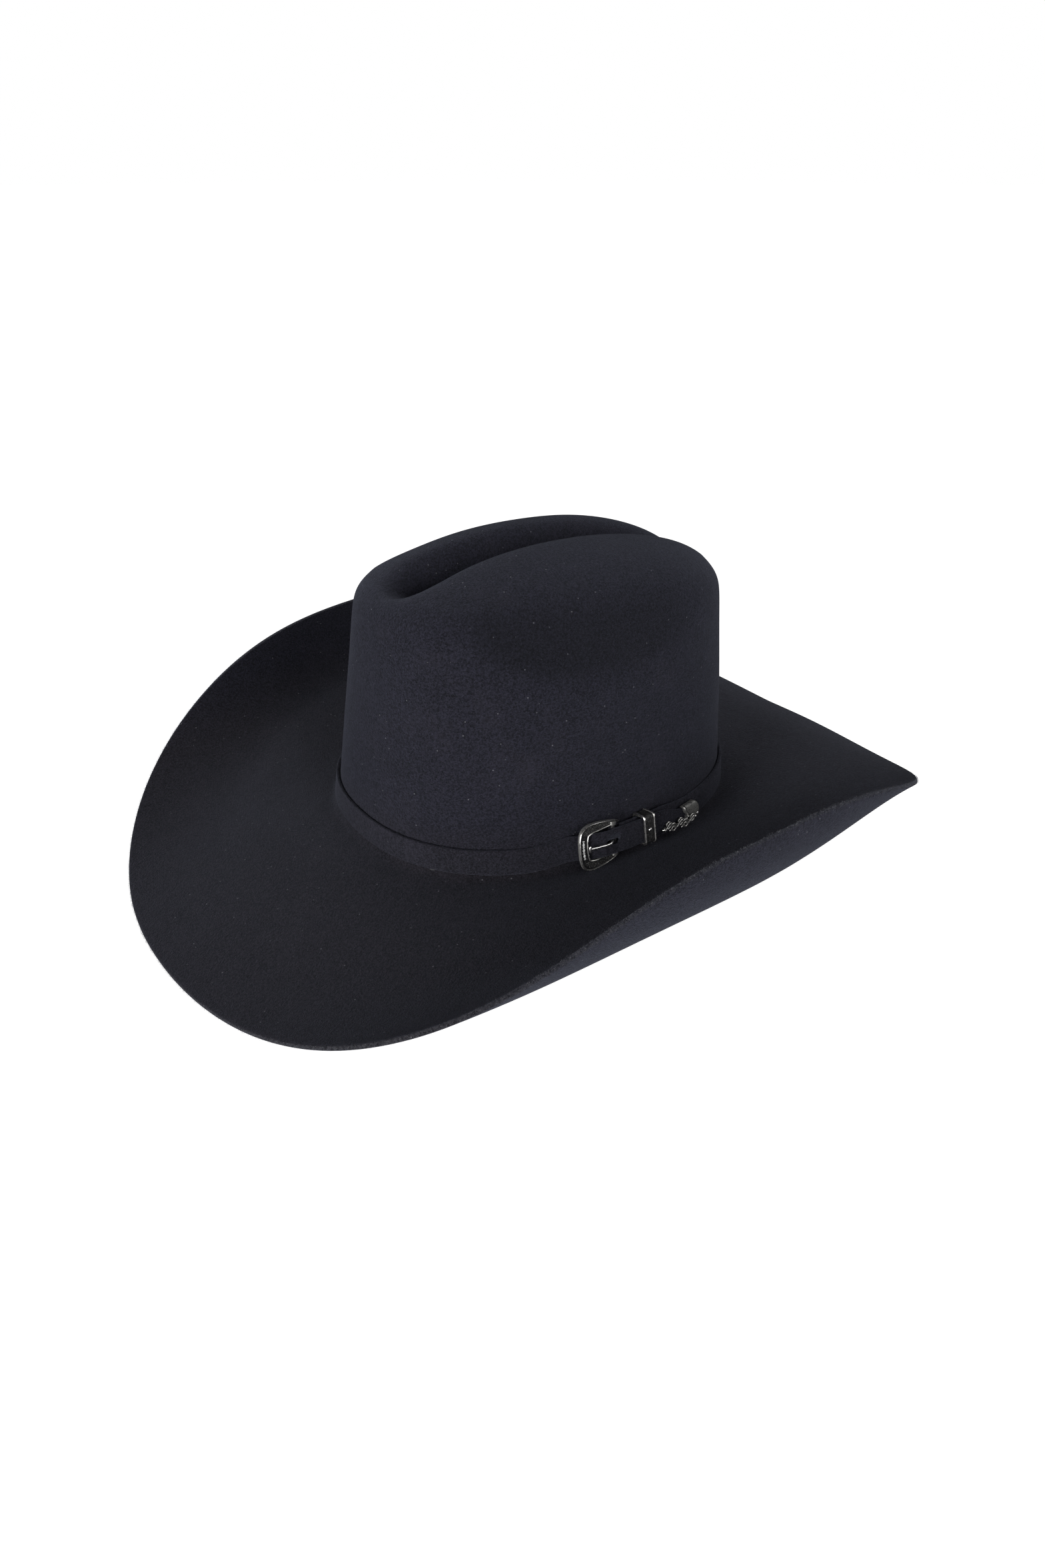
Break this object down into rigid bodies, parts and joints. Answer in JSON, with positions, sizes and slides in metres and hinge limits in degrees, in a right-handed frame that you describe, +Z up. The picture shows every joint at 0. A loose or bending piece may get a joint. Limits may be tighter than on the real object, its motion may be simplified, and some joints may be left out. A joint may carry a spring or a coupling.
{
  "type": "western felt hat",
  "caption": "Black felt western hat with a creased crown, a brim rolled up at both sides, a felt band and a small silver buckle set; leather sweatband and satin lining inside.",
  "frame": {"origin": "centre of the head opening, at the level where the crown meets the brim", "axes": "+Z up through the crown, -Y to the front of the hat, +X to the wearer's left"},
  "size_m": [0.3422, 0.4182, 0.1587],
  "materials": {
    "felt": "brushed fur felt",
    "thread": "twisted thread",
    "silver": "antiqued",
    "leather": "smooth",
    "ribbon": "grosgrain",
    "satin": "satin",
    "label": "woven"
  },
  "bodies": {
    "hat": {"felt_body": "felt", "hatband": "felt", "band_stitches": "thread", "buckle_chape": "felt", "chape_stitches": "thread", "scroll_ornament": "silver", "ornament_pins": "silver", "tip_ferrule": "silver", "tip_rivet": "silver", "sweatband": "leather", "sweatband_reed": "ribbon", "reed_stitches": "thread", "sweatband_seam_tape": "leather", "sweatband_bow": "ribbon", "lining_side": "satin", "lining_tip": "satin", "lining_piping": "satin", "size_tab": "label"},
    "buckle": {"buckle_frame": "silver", "buckle_bar": "silver"},
    "prong": {"buckle_prong": "silver"},
    "keeper": {"keeper_loop": "silver", "keeper_rivet": "silver"}
  },
  "joints": [
    {"name": "buckle_tilt", "type": "hinge", "parent": "hat", "child": "buckle", "pos_m": [0.08936, -0.01619, 0.01316], "axis": [-0.1967, 0.0245, 0.9802], "range_deg": [0, 12]},
    {"name": "prong_swing", "type": "hinge", "parent": "buckle", "child": "prong", "pos_m": [0.08936, -0.01619, 0.01316], "axis": [-0.1967, 0.0245, 0.9802], "range_deg": [0, 10]},
    {"name": "keeper_slide", "type": "slide", "parent": "hat", "child": "keeper", "axis": [0.0444, 0.999, 0], "range_m": [-0.0025, 0.002]}
  ]
}
